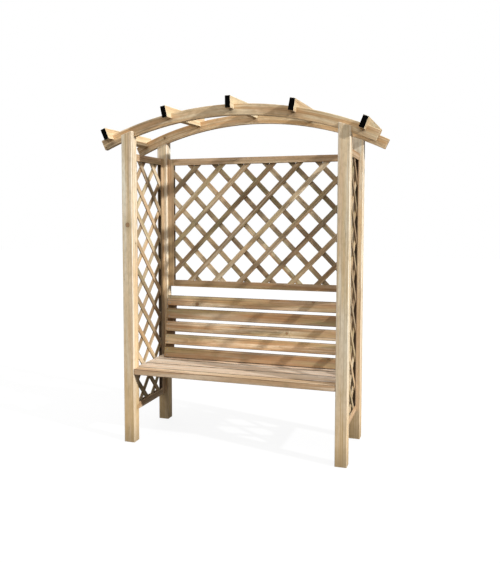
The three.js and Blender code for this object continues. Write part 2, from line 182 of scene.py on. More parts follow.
def addKnots(tree, vector, given, wanted):
    bends = put(tree, "ShaderNodeTexNoise", {"Vector": vector, "Scale": knotShape["bendRepeats"], "Detail": 1.0})
    place = vectorCalc(tree, "ADD", vector, vectorCalc(tree, "MULTIPLY", bends.outputs["Color"], knotShape["bend"]))
    perMetre = calc(tree, "DIVIDE", 1.0, given["Knot Spacing"])
    cells = put(tree, "ShaderNodeTexVoronoi", {"Vector": place, "Scale": perMetre}, voronoi_dimensions="3D").outputs
    radius = times(tree, cells["Distance"], given["Knot Spacing"])
    size = ramp(tree, xyzOf(tree, cells["Color"])[0], 0, 1, knotShape["smallest"], knotShape["largest"])
    away = calc(tree, "DIVIDE", radius, times(tree, size, given["Knot Size"]))
    knot = ramp(tree, away, *knotShape["edge"])
    tree.links.new(knot, wanted["Knots"])
    heart = ramp(tree, calc(tree, "FRACT", times(tree, away, knotShape["heartRings"])), *knotShape["heartRing"])
    rim = calc(tree, "MAXIMUM", heart, ramp(tree, away, *knotShape["rim"]))
    tree.links.new(times(tree, knot, rim), wanted["Knot Rim"])
    falling = calc(tree, "POWER", calc(tree, "DIVIDE", away, knotShape["haloReach"]), 2.0)
    halo = calc(tree, "EXPONENT", times(tree, falling, -1.0))
    tree.links.new(halo, wanted["Knot Halo"])
    return halo


# Growth rings round a pith that wanders beside the board, pushed aside by the knots
ringShape = {
    "wanderAcross": {"repeats": (0.9, 0, 0), "reach": 0.16},
    "wanderThrough": {"repeats": (0.7, 3, 0), "reach": 0.10},
    "pithDepth": 0.045,
    "rippleRepeats": (5, 30, 30),
    "ripple": 0.006,
    "knotPush": 0.012,
    "lateWoodPower": 2.4,
    "lateWoodEnd": 0.88,
}


def wander(tree, vector, repeats, reach):
    return times(tree, calc(tree, "SUBTRACT", noise(tree, vector, repeats, 1), 0.5), reach)


def addRings(tree, vector, given, wanted, halo):
    along, across, through = xyzOf(tree, vector)
    y = plus(tree, across, wander(tree, vector, **ringShape["wanderAcross"]))
    z = plus(tree, through, ringShape["pithDepth"], wander(tree, vector, **ringShape["wanderThrough"]))
    ripple = times(tree, noise(tree, vector, ringShape["rippleRepeats"]), ringShape["ripple"])
    pushed = plus(tree, hypotenuse(tree, y, z), ripple, times(tree, halo, ringShape["knotPush"]))
    ring = calc(tree, "FRACT", calc(tree, "DIVIDE", pushed, given["Ring Width"]))
    rising = calc(tree, "POWER", ring, ringShape["lateWoodPower"])
    tree.links.new(times(tree, rising, ramp(tree, ring, 1.0, ringShape["lateWoodEnd"])), wanted["Late Wood"])


# Drying checks: thin splits along the grain, in places only
checkShape = {
    "repeats": (1.5, 70, 70),
    "edge": (0.010, 0.003),
    "places": {"repeats": (3.5, 14, 14), "low": 0.60, "high": 0.68, "detail": 1},
}


def addChecks(tree, vector, wanted):
    split = calc(tree, "ABSOLUTE", calc(tree, "SUBTRACT", noise(tree, vector, checkShape["repeats"], 1), 0.5))
    where = noiseMask(tree, vector, **checkShape["places"])
    tree.links.new(times(tree, ramp(tree, split, *checkShape["edge"]), where), wanted["Checks"])


# Sizes in metres that both groups start from
grainSizes = {"Streak Width": 0.022, "Ring Width": 0.005, "Knot Size": 0.009}
knotSpacing = 0.18


def makePineFigure():
    outputs = ("Streaks", "Lines", "Patches", "Mottle", "Board Tone", "Late Wood", "Fibres", "Knots", "Knot Rim",
               "Knot Halo", "Checks")
    tree, given, wanted = newGroup("pine figure", {
        "Vector": ("Vector", None),
        "Knot Spacing": ("Float", knotSpacing),
        **{name: ("Float", size) for name, size in grainSizes.items()},
    }, {name: "Float" for name in outputs})
    vector = given["Vector"]
    addFigure(tree, vector, given, wanted)
    halo = addKnots(tree, vector, given, wanted)
    addRings(tree, vector, given, wanted, halo)
    addChecks(tree, vector, wanted)
    return tree


# Pressure-treated pine: how strongly the figure shows in its colour, roughness and relief
treatment = {
    "rust": {"repeats": (1.4, 22, 22), "low": 0.50, "high": 0.66},
    "tint": {"repeats": (1.1, 17, 17), "low": 0.44, "high": 0.7},
    "arrisPatches": {"repeats": (9, 60, 60), "low": 0.3, "high": 0.6, "lowOut": 0.35, "highOut": 0.95},
    "patches": 0.36,
    "patchDarkness": 0.4,
    "lines": 0.55,
    "mottleGreen": 0.35,
    "ringDarkness": 0.5,
    "fibreShade": (0.25, 0.75, 0.90, 1.08),
    "halo": 0.4,
    "haloGreen": 0.5,
    "knot": 0.6,
    "knotColour": (160, 112, 70),
    "rim": 0.75,
    "rimColour": (92, 60, 38),
    "checks": 0.7,
    "checkColour": (70, 46, 28),
    "endGrain": (205, 190, 170),
    "fibreRoughness": (0.2, 0.8, 0.70, 0.86),
    "knotGloss": 0.22,
    "wornGloss": 0.12,
    "ringHeight": 0.5,
    "fibreHeight": 0.6,
    "knotHeight": 0.5,
    "checkDepth": 2.5,
    "saw": {"Scale": 90.0, "Distortion": 3.0, "Detail": 1.0, "Detail Scale": 0.6},
}


def addTimberColour(tree, vector, given, seen):
    streaks = times(tree, seen["Streaks"], given["Streak Strength"])
    colour = mix(tree, streaks, given["Pale"], given["Warm"])
    rust = times(tree, noiseMask(tree, vector, **treatment["rust"]), given["Orange Strength"])
    colour = mix(tree, rust, colour, given["Orange"])
    patchColour = mix(tree, treatment["patchDarkness"], given["Warm"], given["Dark"])
    colour = mix(tree, times(tree, seen["Patches"], treatment["patches"]), colour, patchColour)
    colour = mix(tree, times(tree, seen["Board Tone"], given["Tone Spread"]), colour, given["Dark"])
    tint = times(tree, noiseMask(tree, vector, **treatment["tint"]), given["Green Strength"])
    colour = mix(tree, tint, colour, given["Green"])
    lines = times(tree, seen["Lines"], times(tree, given["Streak Strength"], treatment["lines"]))
    colour = mix(tree, lines, colour, given["Dark"])
    mottleColour = mix(tree, treatment["mottleGreen"], given["Dark"], given["Green"])
    colour = mix(tree, times(tree, seen["Mottle"], given["Mottle Strength"]), colour, mottleColour)
    ringColour = mix(tree, treatment["ringDarkness"], given["Warm"], given["Dark"])
    colour = mix(tree, times(tree, seen["Late Wood"], given["Ring Strength"]), colour, ringColour)
    shade = ramp(tree, seen["Fibres"], *treatment["fibreShade"])
    shades = put(tree, "ShaderNodeCombineXYZ", {0: shade, 1: shade, 2: shade}).outputs[0]
    return mix(tree, 1.0, colour, shades, "MULTIPLY")


def addKnotColour(tree, given, seen, knot, colour):
    halo = times(tree, seen["Knot Halo"], treatment["halo"], given["Knot Strength"])
    colour = mix(tree, halo, colour, mix(tree, treatment["haloGreen"], given["Dark"], given["Green"]))
    colour = mix(tree, times(tree, knot, treatment["knot"]), colour, screenColour(*treatment["knotColour"]))
    rim = times(tree, seen["Knot Rim"], given["Knot Strength"], treatment["rim"])
    colour = mix(tree, rim, colour, screenColour(*treatment["rimColour"]))
    checks = times(tree, seen["Checks"], treatment["checks"])
    return mix(tree, checks, colour, screenColour(*treatment["checkColour"]))


def addRelief(tree, vector, given, seen, knot):
    rings = times(tree, seen["Late Wood"], treatment["ringHeight"])
    fibres = times(tree, seen["Fibres"], treatment["fibreHeight"])
    sawn = put(tree, "ShaderNodeTexWave", {"Vector": vector, **treatment["saw"]}, bands_direction="X").outputs["Fac"]
    marks = times(tree, sawn, given["Saw Marks"])
    height = plus(tree, rings, fibres, marks, times(tree, knot, treatment["knotHeight"]))
    return calc(tree, "SUBTRACT", height, times(tree, seen["Checks"], treatment["checkDepth"]))


def makeTreatedPine(figureTree):
    tree, given, wanted = newGroup("treated pine", {
        "Vector": ("Vector", None),
        "Ends": ("Float", 0.0),
        "Arris": ("Float", 0.0),
        "Pale": ("Color", screenColour(226, 200, 160)),
        "Warm": ("Color", screenColour(204, 164, 114)),
        "Dark": ("Color", screenColour(150, 110, 70)),
        "Green": ("Color", screenColour(168, 164, 118)),
        "Orange": ("Color", screenColour(206, 148, 92)),
        "Wearandshade": ("Color", screenColour(236, 222, 196)),
        "Streak Strength": ("Float", 0.7),
        "Ring Strength": ("Float", 0.35),
        "Orange Strength": ("Float", 0.4),
        "Green Strength": ("Float", 0.25),
        "Knot Strength": ("Float", 1.0),
        "Tone Spread": ("Float", 0.3),
        "Mottle Strength": ("Float", 0.2),
        "Saw Marks": ("Float", 0.0),
        **{name: ("Float", size) for name, size in grainSizes.items()},
    }, {"Color": "Color", "Roughness": "Float", "Height": "Float"})
    vector = given["Vector"]
    figure = put(tree, "ShaderNodeGroup", {name: given[name] for name in ("Vector", *grainSizes)},
                 node_tree=figureTree)
    seen = figure.outputs
    knot = times(tree, seen["Knots"], given["Knot Strength"])
    colour = addKnotColour(tree, given, seen, knot, addTimberColour(tree, vector, given, seen))

    # End grain is darker, and the arrises take their own colour in places: paler wear on most finishes, painted shade
    # in the gaps and along the edges where a finish sets it dark
    endColour = mix(tree, 1.0, colour, screenColour(*treatment["endGrain"]), "MULTIPLY")
    colour = mix(tree, given["Ends"], colour, endColour)
    wearandshade = times(tree, given["Arris"], noiseMask(tree, vector, **treatment["arrisPatches"]))
    tree.links.new(mix(tree, wearandshade, colour, given["Wearandshade"]), wanted["Color"])

    rough = ramp(tree, seen["Fibres"], *treatment["fibreRoughness"])
    rough = calc(tree, "SUBTRACT", rough, times(tree, knot, treatment["knotGloss"]))
    tree.links.new(calc(tree, "SUBTRACT", rough, times(tree, wearandshade, treatment["wornGloss"])), wanted["Roughness"])
    tree.links.new(addRelief(tree, vector, given, seen, knot), wanted["Height"])
    return tree


treatedPine = makeTreatedPine(makePineFigure())
print("timber node groups made")

# Finishes: colours as seen on a screen, strengths from 0 to 1, sizes in metres. A value that a finish leaves out
# stays as the group has it
pineFinishes = {
    "post pine": {
        "pale": (255, 247, 227), "warm": (243, 217, 175), "dark": (150, 117, 80), "wearandshade": (252, 242, 222),
        "streaks": 0.95, "streakWidth": 0.024, "rings": 0.4, "orange": 0.3, "green": 0.2, "knots": 1.0,
        "toneSpread": 0.1, "knotSize": 0.013, "mottle": 0.28},
    "arch pine": {
        "pale": (252, 231, 193), "warm": (230, 192, 144), "dark": (134, 94, 58), "wearandshade": (240, 218, 180),
        "streaks": 0.95, "streakWidth": 0.022, "rings": 0.5, "orange": 0.5, "green": 0.2, "knots": 1.0,
        "toneSpread": 0.12, "knotSize": 0.012, "mottle": 0.3},
    "rafter pine": {
        "pale": (244, 226, 192), "warm": (224, 192, 148), "dark": (156, 120, 82), "wearandshade": (246, 230, 200),
        "streaks": 0.7, "streakWidth": 0.022, "rings": 0.35, "orange": 0.4, "green": 0.2, "knots": 0.9,
        "toneSpread": 0.12},
    "frame pine": {
        "pale": (240, 212, 176), "warm": (204, 168, 128), "dark": (104, 76, 52), "wearandshade": (186, 158, 122),
        "streaks": 0.95, "streakWidth": 0.020, "rings": 0.55, "orange": 0.5, "green": 0.35, "knots": 1.0,
        "toneSpread": 0.4},
    # The slat, seat, rail and backrest finishes set a dark arris colour: painted shade along the slats' edges and in
    # the gaps between boards
    "slat pine": {
        "pale": (246, 228, 194), "warm": (208, 174, 132), "dark": (96, 70, 48), "wearandshade": (150, 118, 84),
        "streaks": 0.85, "streakWidth": 0.016, "rings": 0.4, "orange": 0.5, "green": 0.5, "knots": 0.9,
        "toneSpread": 0.7, "knotSize": 0.006, "sawMarks": 0.35},
    "seat pine": {
        "pale": (255, 246, 232), "warm": (242, 216, 186), "dark": (132, 104, 84), "wearandshade": (44, 32, 24),
        "streaks": 1.0, "streakWidth": 0.028, "rings": 0.6, "orange": 0.12, "green": 0.12, "knots": 1.0,
        "toneSpread": 0.2, "knotSize": 0.012},
    "rail pine": {
        "pale": (244, 220, 190), "warm": (210, 174, 136), "dark": (108, 80, 56), "wearandshade": (100, 74, 50),
        "streaks": 1.0, "streakWidth": 0.020, "rings": 0.6, "orange": 0.25, "green": 0.15, "knots": 1.0,
        "toneSpread": 0.2, "knotSize": 0.012},
    # A darker copy of the pine for the seat bearers and backrest uprights, which sit under the seat and behind the
    # boards: painted shade
    "shade-darkened pine": {
        "pale": (140, 110, 76), "warm": (112, 84, 56), "dark": (62, 44, 28), "wearandshade": (130, 104, 74),
        "streaks": 0.7, "streakWidth": 0.022, "rings": 0.3, "orange": 0.1, "green": 0.2, "knots": 1.0,
        "toneSpread": 0.2},
    "backrest pine": {
        "pale": (255, 234, 200), "warm": (220, 178, 134), "dark": (100, 70, 46), "wearandshade": (80, 56, 38),
        "streaks": 1.0, "streakWidth": 0.024, "rings": 0.7, "orange": 0.85, "green": 0.55, "knots": 1.0,
        "toneSpread": 0.45, "knotSize": 0.012},
}
finishSockets = {
    "streaks": "Streak Strength",
    "streakWidth": "Streak Width",
    "rings": "Ring Strength",
    "orange": "Orange Strength",
    "green": "Green Strength",
    "knots": "Knot Strength",
    "knotSize": "Knot Size",
    "toneSpread": "Tone Spread",
    "mottle": "Mottle Strength",
    "sawMarks": "Saw Marks",
}
timberSurface = {"relief": 0.35, "reliefDepth": 0.0012, "gloss": 0.2}
sealedEnds = {"colour": (5, 5, 5), "roughness": 0.9, "gloss": 0.03}
# Painted shade: a dark brown painted into the trellis frames' grooves, and a little less on the stiles' inner edges,
# where shade falls
grooveShade = {"colour": (52, 38, 26), "strength": 0.85, "edge": 0.75, "faceMargin": 0.002, "edgeMargin": 0.001}
archCurve = {"halfSpan": 0.925, "frontRise": 0.199, "rearRise": 0.211, "rearShift": 7.3}

# The posts have weathered golden below and drawn up damp at their feet: each stain grows from its height down
# to the height where it is full
postStains = (
    {"height": 1.1, "full": 0.1, "strength": 0.5, "colour": (204, 164, 106)},
    {"height": 0.14, "full": -0.04, "strength": 0.5, "colour": (132, 112, 82)},
)
stainEdge = {"repeats": (30, 30, 6), "raggedness": 0.07}


# Radius of each arch's outer curve and height of its centre
def archCircle(end):
    rise = archCurve[end + "Rise"]
    radius = (archCurve["halfSpan"] ** 2 + rise ** 2) / (2 * rise)
    return radius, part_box("arch_" + end)[1].z - radius


def pieceValue(tree, name, output="Fac"):
    return put(tree, "ShaderNodeAttribute", attribute_name=name).outputs[output]


# Round the arches the grain follows the curve
def curveVector(tree):
    x, y, z = xyzOf(tree, objectPlace(tree))
    atRear = calc(tree, "GREATER_THAN", y, 0.0)
    (frontRadius, frontZ), (rearRadius, rearZ) = archCircle("front"), archCircle("rear")
    curve = plus(tree, times(tree, atRear, rearRadius - frontRadius), frontRadius)
    centreZ = plus(tree, times(tree, atRear, rearZ - frontZ), frontZ)
    up = calc(tree, "SUBTRACT", z, centreZ)
    turn = calc(tree, "ARCTAN2", x, up)
    along = plus(tree, times(tree, turn, curve), times(tree, atRear, archCurve["rearShift"]))
    across = calc(tree, "SUBTRACT", hypotenuse(tree, x, up), curve)
    return put(tree, "ShaderNodeCombineXYZ", {0: along, 1: across, 2: y}).outputs[0]


def stainPost(tree, colour):
    place = objectPlace(tree)
    ragged = times(tree, noise(tree, place, stainEdge["repeats"]), -stainEdge["raggedness"])
    edge = plus(tree, xyzOf(tree, place)[2], ragged)
    for stain in postStains:
        share = ramp(tree, edge, stain["height"], stain["full"], 0.0, stain["strength"])
        colour = mix(tree, share, colour, screenColour(*stain["colour"]))
    return colour


def makePineMaterial(name, values):
    material, tree = emptyMaterial(name)
    ends = pieceValue(tree, "ends")
    pine = put(tree, "ShaderNodeGroup", {
        "Vector": curveVector(tree) if name == "arch pine" else pieceValue(tree, "grain", "Vector"),
        "Ends": ends,
        "Arris": pieceValue(tree, "arris"),
        **{tone.capitalize(): screenColour(*values[tone]) for tone in ("pale", "warm", "dark", "wearandshade")},
        **{socket: values[key] for key, socket in finishSockets.items() if key in values},
    }, node_tree=treatedPine)
    colour, roughness, gloss = pine.outputs["Color"], pine.outputs["Roughness"], timberSurface["gloss"]
    if name == "rafter pine":    # the rafters' end faces are sealed
        colour = mix(tree, ends, colour, screenColour(*sealedEnds["colour"]))
        roughness = calc(tree, "MAXIMUM", roughness, times(tree, ends, sealedEnds["roughness"]))
        gloss = sealedEnds["gloss"]
    if name == "frame pine":    # painted shade in the grooves and on the stiles' inner edges
        paintedShade = times(tree, pieceValue(tree, "painted_groove_shade"), grooveShade["strength"])
        colour = mix(tree, paintedShade, colour, screenColour(*grooveShade["colour"]))
    if name == "post pine":
        colour = stainPost(tree, colour)
    bump = put(tree, "ShaderNodeBump", {
        "Height": pine.outputs["Height"],
        "Strength": timberSurface["relief"],
        "Distance": timberSurface["reliefDepth"],
    })
    surface = put(tree, "ShaderNodeBsdfPrincipled", {
        "Base Color": colour, "Roughness": roughness, "Normal": bump.outputs[0], "Specular IOR Level": gloss})
    put(tree, "ShaderNodeOutputMaterial", {"Surface": surface.outputs[0]})
    return material


zinc = {
    "pale": (176, 174, 166),
    "dull": (128, 124, 114),
    "metallic": 0.9,
    "smoothest": 0.34,
    "roughest": 0.55,
    "clouds": {"repeats": (400, 400, 400), "low": 0.35, "high": 0.65, "detail": 3},
}


def makeZincMaterial():
    material, tree = emptyMaterial("dull zinc")
    cloud = noiseMask(tree, objectPlace(tree), **zinc["clouds"])
    surface = put(tree, "ShaderNodeBsdfPrincipled", {
        "Base Color": mix(tree, cloud, screenColour(*zinc["pale"]), screenColour(*zinc["dull"])),
        "Metallic": zinc["metallic"],
        "Roughness": ramp(tree, cloud, 0, 1, zinc["smoothest"], zinc["roughest"]),
    })
    put(tree, "ShaderNodeOutputMaterial", {"Surface": surface.outputs[0]})
    return material


pineMaterials = {name: makePineMaterial(name, values) for name, values in pineFinishes.items()}
dullZinc = makeZincMaterial()
print("materials made:", len(pineMaterials) + 1)


# Boards: copies of the frame's timber with rounded arrises. Each kind has its finish, record slot and arris radius
boardKinds = {
    "post": ("post pine", "post_timber", 0.0015),
    "arch": ("arch pine", "arch_timber", 0.0025),
    "rafter": ("rafter pine", "rafter_timber", 0.002),
    "trellis": ("frame pine", "frame_timber", 0.0015),
    "seat": ("seat pine", "seat_timber", 0.004),
    "bearer": ("shade-darkened pine", "bearer_timber", 0.002),
    "upright": ("shade-darkened pine", "backrest_timber", 0.002),
    "backrest": ("backrest pine", "backrest_timber", 0.003),
    "rail": ("rail pine", "seat_timber", 0.003),
}
boardShaping = {
    "mergeUnder": 0.00001,
    "flatUnder": 0.2,    # degrees
    "shortestArris": 0.02,
    "roundedOver": 30,    # degrees
    "arrisSegments": 2,
    "smoothUnder": 35,    # degrees
    "endGrainOver": 0.6,    # share of a face's normal that lies along the grain
    "boardStep": 7.31,    # metres of wood between one board's figure and the next
}
backrestRake = math.radians(10)
backrestUp = Vector((0, math.sin(backrestRake), math.cos(backrestRake)))
backrestOut = Vector((0, -math.cos(backrestRake), math.sin(backrestRake)))


def kindOf(node):
    if "screw" in node or node.endswith("_lattice"):
        return None
    if node.endswith("_stile") or (node.endswith("_rail") and not node.startswith("seat")):
        return "trellis"
    if node.startswith(("seat_bearer", "backrest_upright")):
        return node.split("_")[1]
    if node == "seat_front_rail":
        return "rail"
    return node.split("_")[0]


def middleOf(node):
    low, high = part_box(node)
    return (low + high) / 2


def only(piece):
    bpy.ops.object.select_all(action="DESELECT")
    piece.select_set(True)
    bpy.context.view_layer.objects.active = piece


def applyModifier(piece, kind, **settings):
    only(piece)
    modifier = piece.modifiers.new(kind.lower(), kind)
    for name, value in settings.items():
        setattr(modifier, name, value)
    bpy.ops.object.modifier_apply(modifier=modifier.name)


# Direction of the grain, and a direction across the board
def grainOf(node, kind):
    if kind == "post" or node.endswith("_stile"):
        return zAxis, xAxis
    if kind in ("rafter", "bearer") or (kind == "trellis" and not node.startswith("back")):
        return yAxis, zAxis
    if kind == "upright":
        return backrestUp, xAxis
    if kind == "backrest":
        return xAxis, backrestUp
    return xAxis, yAxis


def writeGrain(piece, centre, along, across, shift):
    through = along.cross(across)
    values = []
    for vertex in piece.data.vertices:
        step = vertex.co - centre
        values += [step.dot(along) + shift, step.dot(across), step.dot(through)]
    piece.data.attributes.new("grain", "FLOAT_VECTOR", "POINT").data.foreach_set("vector", values)


def writeFaceValues(piece, name, values):
    piece.data.attributes.new(name, "FLOAT", "FACE").data.foreach_set("value", values)


# Two slots of one finish: a bevel gives its own faces the second, and so marks the arrises
def addFaceAndArrisSlots(piece, material):
    piece.data.materials.clear()
    piece.data.materials.append(material)
    piece.data.materials.append(material)


# Marks end grain and the arrises, which show wear on the pale finishes and painted shade on the dark ones, and puts
# all faces back into the first slot
def writeFaces(piece, alongAt):
    faces = piece.data.polygons
    shares = [abs(face.normal.dot(alongAt(face.center))) for face in faces]
    arrises = [float(face.material_index == 1) for face in faces]
    writeFaceValues(piece, "ends", [float(share > boardShaping["endGrainOver"]) for share in shares])
    writeFaceValues(piece, "arris", arrises)
    faces.foreach_set("material_index", [0] * len(faces))


# Marks the groove of a trellis frame's piece, and a stile's inner edge, where shade is painted
def writeGrooveShade(piece, node, centre, along):
    inward = middleOf(node.split("_")[0] + "_lattice") - centre
    inward = (inward - along * inward.dot(along)).normalized()
    through = along.cross(inward)
    steps = [vertex.co - centre for vertex in piece.data.vertices]
    edge = max(step.dot(inward) for step in steps) - grooveShade["edgeMargin"]
    face = max(step.dot(through) for step in steps) - grooveShade["faceMargin"]
    values = []
    for polygon in piece.data.polygons:
        step = polygon.center - centre
        inside = abs(step.dot(through)) < face
        deep = inside and step.dot(inward) < edge
        onEdge = inside and not deep and node.endswith("_stile")
        values.append(1.0 if deep else grooveShade["edge"] if onEdge else 0.0)
    writeFaceValues(piece, "painted_groove_shade", values)


def roundArrises(piece, radius):
    form = bmesh.new()
    form.from_mesh(piece.data)
    weights = form.edges.layers.float.new("bevel_weight_edge")
    for edge in form.edges:
        if len(edge.link_faces) == 2 and edge.is_convex and edge.calc_length() > boardShaping["shortestArris"]:
            edge[weights] = float(edge.calc_face_angle() > math.radians(boardShaping["roundedOver"]))
    form.to_mesh(piece.data)
    form.free()
    applyModifier(piece, "BEVEL", width=radius, segments=boardShaping["arrisSegments"], limit_method="WEIGHT",
                  material=1, use_clamp_overlap=False)


def smoothFaces(piece):
    only(piece)
    bpy.ops.object.shade_smooth_by_angle(angle=math.radians(boardShaping["smoothUnder"]))
    applyModifier(piece, "WEIGHTED_NORMAL", keep_sharp=True)


def finishPiece(piece, material, slot, *replaced):
    piece.data.materials.clear()
    piece.data.materials.append(material)
    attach(piece, "root")
    if replaced:
        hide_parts(*replaced)


def dressBoard(node, kind, number):
    finish, slot, radius = boardKinds[kind]
    piece = bpy.data.objects.new(node + "_timber", nodes[node].data.copy())
    bpy.context.collection.objects.link(piece)
    addFaceAndArrisSlots(piece, pineMaterials[finish])
    only(piece)
    bpy.ops.object.mode_set(mode="EDIT")
    bpy.ops.mesh.select_all(action="SELECT")
    bpy.ops.mesh.remove_doubles(threshold=boardShaping["mergeUnder"])
    bpy.ops.mesh.dissolve_limited(angle_limit=math.radians(boardShaping["flatUnder"]))
    bpy.ops.mesh.customdata_custom_splitnormals_clear()
    bpy.ops.object.mode_set(mode="OBJECT")
    roundArrises(piece, radius)
    centre = middleOf(node)
    if kind == "arch":
        curveCentre = Vector((0, centre.y, archCircle(node.split("_")[1])[1]))
        writeFaces(piece, lambda point: yAxis.cross(point - curveCentre).normalized())
    else:
        along, across = grainOf(node, kind)
        writeGrain(piece, centre, along, across, number * boardShaping["boardStep"])
        writeFaces(piece, lambda point: along)
        if kind == "trellis":
            writeGrooveShade(piece, node, centre, along)
    smoothFaces(piece)
    finishPiece(piece, pineMaterials[finish], slot, node)


boardNodes = [node for node in sorted(nodes) if kindOf(node)]
for number, node in enumerate(boardNodes):
    dressBoard(node, kindOf(node), number)
print("boards dressed:", len(boardNodes))


# Trellis slats: two layers in each panel's groove
trellis = {
    "meshWidth": 0.190,
    "meshHeight": 0.196,
    "slatWidth": 0.035,
    "slatThickness": 0.0078,
    "layerStep": 0.008,
    "grooveDepth": 0.012,
    "arrisRadius": 0.0008,
    "arrisSegments": 1,
    "spareLength": 0.1,
    "slatStep": 5.17,    # metres of wood between one slat's figure and the next
}
trellisPanels = {
    "back": {"turn": 0, "frontSlope": 1},
    "left": {"turn": 90, "frontSlope": -1},
    "right": {"turn": 90, "frontSlope": -1},
}


# A panel's own space: x across it and z up, from its middle, and y through it, from its front at the back panel
# and from its right face at the sides. Gives half its width and height, and the way from there to its place
def panelSpace(panel):
    low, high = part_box(panel + "_lattice")
    size, face = high - low, (low + high) / 2
    if trellisPanels[panel]["turn"]:
        width, face.x = size.y, high.x
    else:
        width, face.y = size.x, low.y
    turn = Matrix.Rotation(math.radians(trellisPanels[panel]["turn"]), 4, "Z")
    return width / 2, size.z / 2, Matrix.Translation(face) @ turn


# Adds a cuboid at its place, with its size and turn in its mesh
def addCuboid(name, size, place=(0, 0, 0), turn=(0, 0, 0)):
    bpy.ops.object.select_all(action="DESELECT")
    bpy.ops.mesh.primitive_cube_add(size=1, location=place, rotation=turn, scale=size)
    bpy.ops.object.transform_apply(location=True, rotation=True, scale=True)
    bpy.context.object.name = name
    return bpy.context.object


# Cuts the piece in edit mode off at each side of its panel
def cutToPanel(halfWidth, halfHeight):
    for normal, edge in ((xAxis, halfWidth), (zAxis, halfHeight)):
        for side in (-1, 1):
            bpy.ops.mesh.select_all(action="SELECT")
            bpy.ops.mesh.bisect(
                plane_co=side * edge * normal, plane_no=side * normal, use_fill=True, clear_outer=True)


def addSlat(panel, slope, crossing, depth, halfWidth, halfHeight, number):
    slant = math.atan2(slope * trellis["meshHeight"], trellis["meshWidth"])
    reach = 2 * math.hypot(halfWidth, halfHeight) + abs(crossing) + trellis["spareLength"]
    middle = Vector((crossing, depth, 0))
    slat = addCuboid(f"{panel}_slat_{number}", (2 * reach, trellis["slatThickness"], trellis["slatWidth"]),
                     middle, (0, -slant, 0))
    addFaceAndArrisSlots(slat, pineMaterials["slat pine"])
    bpy.ops.object.mode_set(mode="EDIT")
    cutToPanel(halfWidth, halfHeight)
    bpy.ops.object.mode_set(mode="OBJECT")
    applyModifier(slat, "BEVEL", width=trellis["arrisRadius"], segments=trellis["arrisSegments"],
                  limit_method="ANGLE", angle_limit=math.radians(boardShaping["roundedOver"]), material=1)
    along = Vector((math.cos(slant), 0, math.sin(slant)))
    across = Vector((-math.sin(slant), 0, math.cos(slant)))
    writeGrain(slat, middle, along, across, number * trellis["slatStep"])
    writeFaces(slat, lambda point: along)
    return slat


def joined(pieces, name):
    bpy.ops.object.select_all(action="DESELECT")
    for piece in pieces:
        piece.select_set(True)
    bpy.context.view_layer.objects.active = pieces[0]
    bpy.ops.object.join()
    pieces[0].name = name
    return pieces[0]


# Places across the middle line that slats of one layer pass through
def slatCrossings(halfWidth, halfHeight):
    width, height = [2 * (half - trellis["grooveDepth"]) for half in (halfWidth, halfHeight)]
    cells = width / trellis["meshWidth"] + height / trellis["meshHeight"]
    last = cells - 2 * trellis["slatWidth"] / trellis["meshWidth"]
    return [side * number * trellis["meshWidth"] / 2
            for number in range(1, math.ceil(last), 2) for side in (-1, 1)]


def addTrellis(panel, firstNumber):
    halfWidth, halfHeight, place = panelSpace(panel)
    frontSlope = trellisPanels[panel]["frontSlope"]
    slats = []
    for layer, slope in enumerate((frontSlope, -frontSlope)):
        depth = trellis["slatThickness"] / 2 + layer * trellis["layerStep"]
        for crossing in slatCrossings(halfWidth, halfHeight):
            number = firstNumber + len(slats)
            slats.append(addSlat(panel, slope, crossing, depth, halfWidth, halfHeight, number))
    whole = joined(slats, panel + "_slats")
    whole.data.transform(place)
    smoothFaces(whole)
    finishPiece(whole, pineMaterials["slat pine"], "slat_timber", panel + "_lattice")
    return len(slats)


slatCount = 0
for panel in trellisPanels:
    slatCount += addTrellis(panel, slatCount)
print("trellis slats:", slatCount)


# Fasteners: a countersunk screw with a cross recess, a coach screw on its washer, and a staple. Each is modelled
# once, with its top at the origin and its point down
screwShape = {
    "sides": 24,
    "headRadius": 0.006,
    "headDepth": 0.005,
    "shankRadius": 0.003,
    "pointLength": 0.006,
    "pointShare": 0.05,    # of the shank's width, at the tip
    "length": 0.05,
    "rim": 0.0003,
    "crownInset": 0.00045,
    "crossReach": 0.0032,
    "crossWidth": 0.0013,
    "crossDepth": 0.0028,
    "crossTaper": 0.4,
}
coachShape = {
    "sides": 24,
    "washerRadius": 0.0075,
    "washerHeight": 0.0011,
    "washerBevel": 0.0002,
    "headSides": 6,
    "headRadius": 0.0066,
    "headHeight": 0.0044,
    "headBevel": 0.0003,
    "headBevelOver": 40,    # degrees
    "chamfer": 0.0005,
    "crownInset": 0.001,
    "shankRadius": 0.004,
    "pointLength": 0.006,
    "pointShare": 0.05,
    "length": 0.08,
}
stapleShape = {
    "crown": 0.010,
    "width": 0.0012,
    "thickness": 0.0007,
    "bevel": 0.00025,
    "margin": 0.008,    # kept clear beside the frame
    "spread": 25,    # degrees to either side
    "spreadAcross": 17,
    "spreadUp": 29,
}
placing = {
    "keptDepth": 0.01,    # down to here a model keeps its shape, and below it the shank is drawn to length
    "screwTurn": 1.3,    # radians from one packed screw's cross to the next
    "setTurn": 0.9,
    "decimals": 6,    # to which packed points are taken as one
    "rimDepth": 0.00002,
}
bevelSegments = 2
# Shares of a face's normal along the axis: more than the first is up or down, less than the second is sideways
facing = {"alongAxis": 0.9, "acrossAxis": 0.1}


def facesDown(face):
    return face.normal.z < -facing["alongAxis"]


def facesUp(face):
    return face.normal.z > facing["alongAxis"]


def facesSideways(face):
    return abs(face.normal.z) < facing["acrossAxis"]


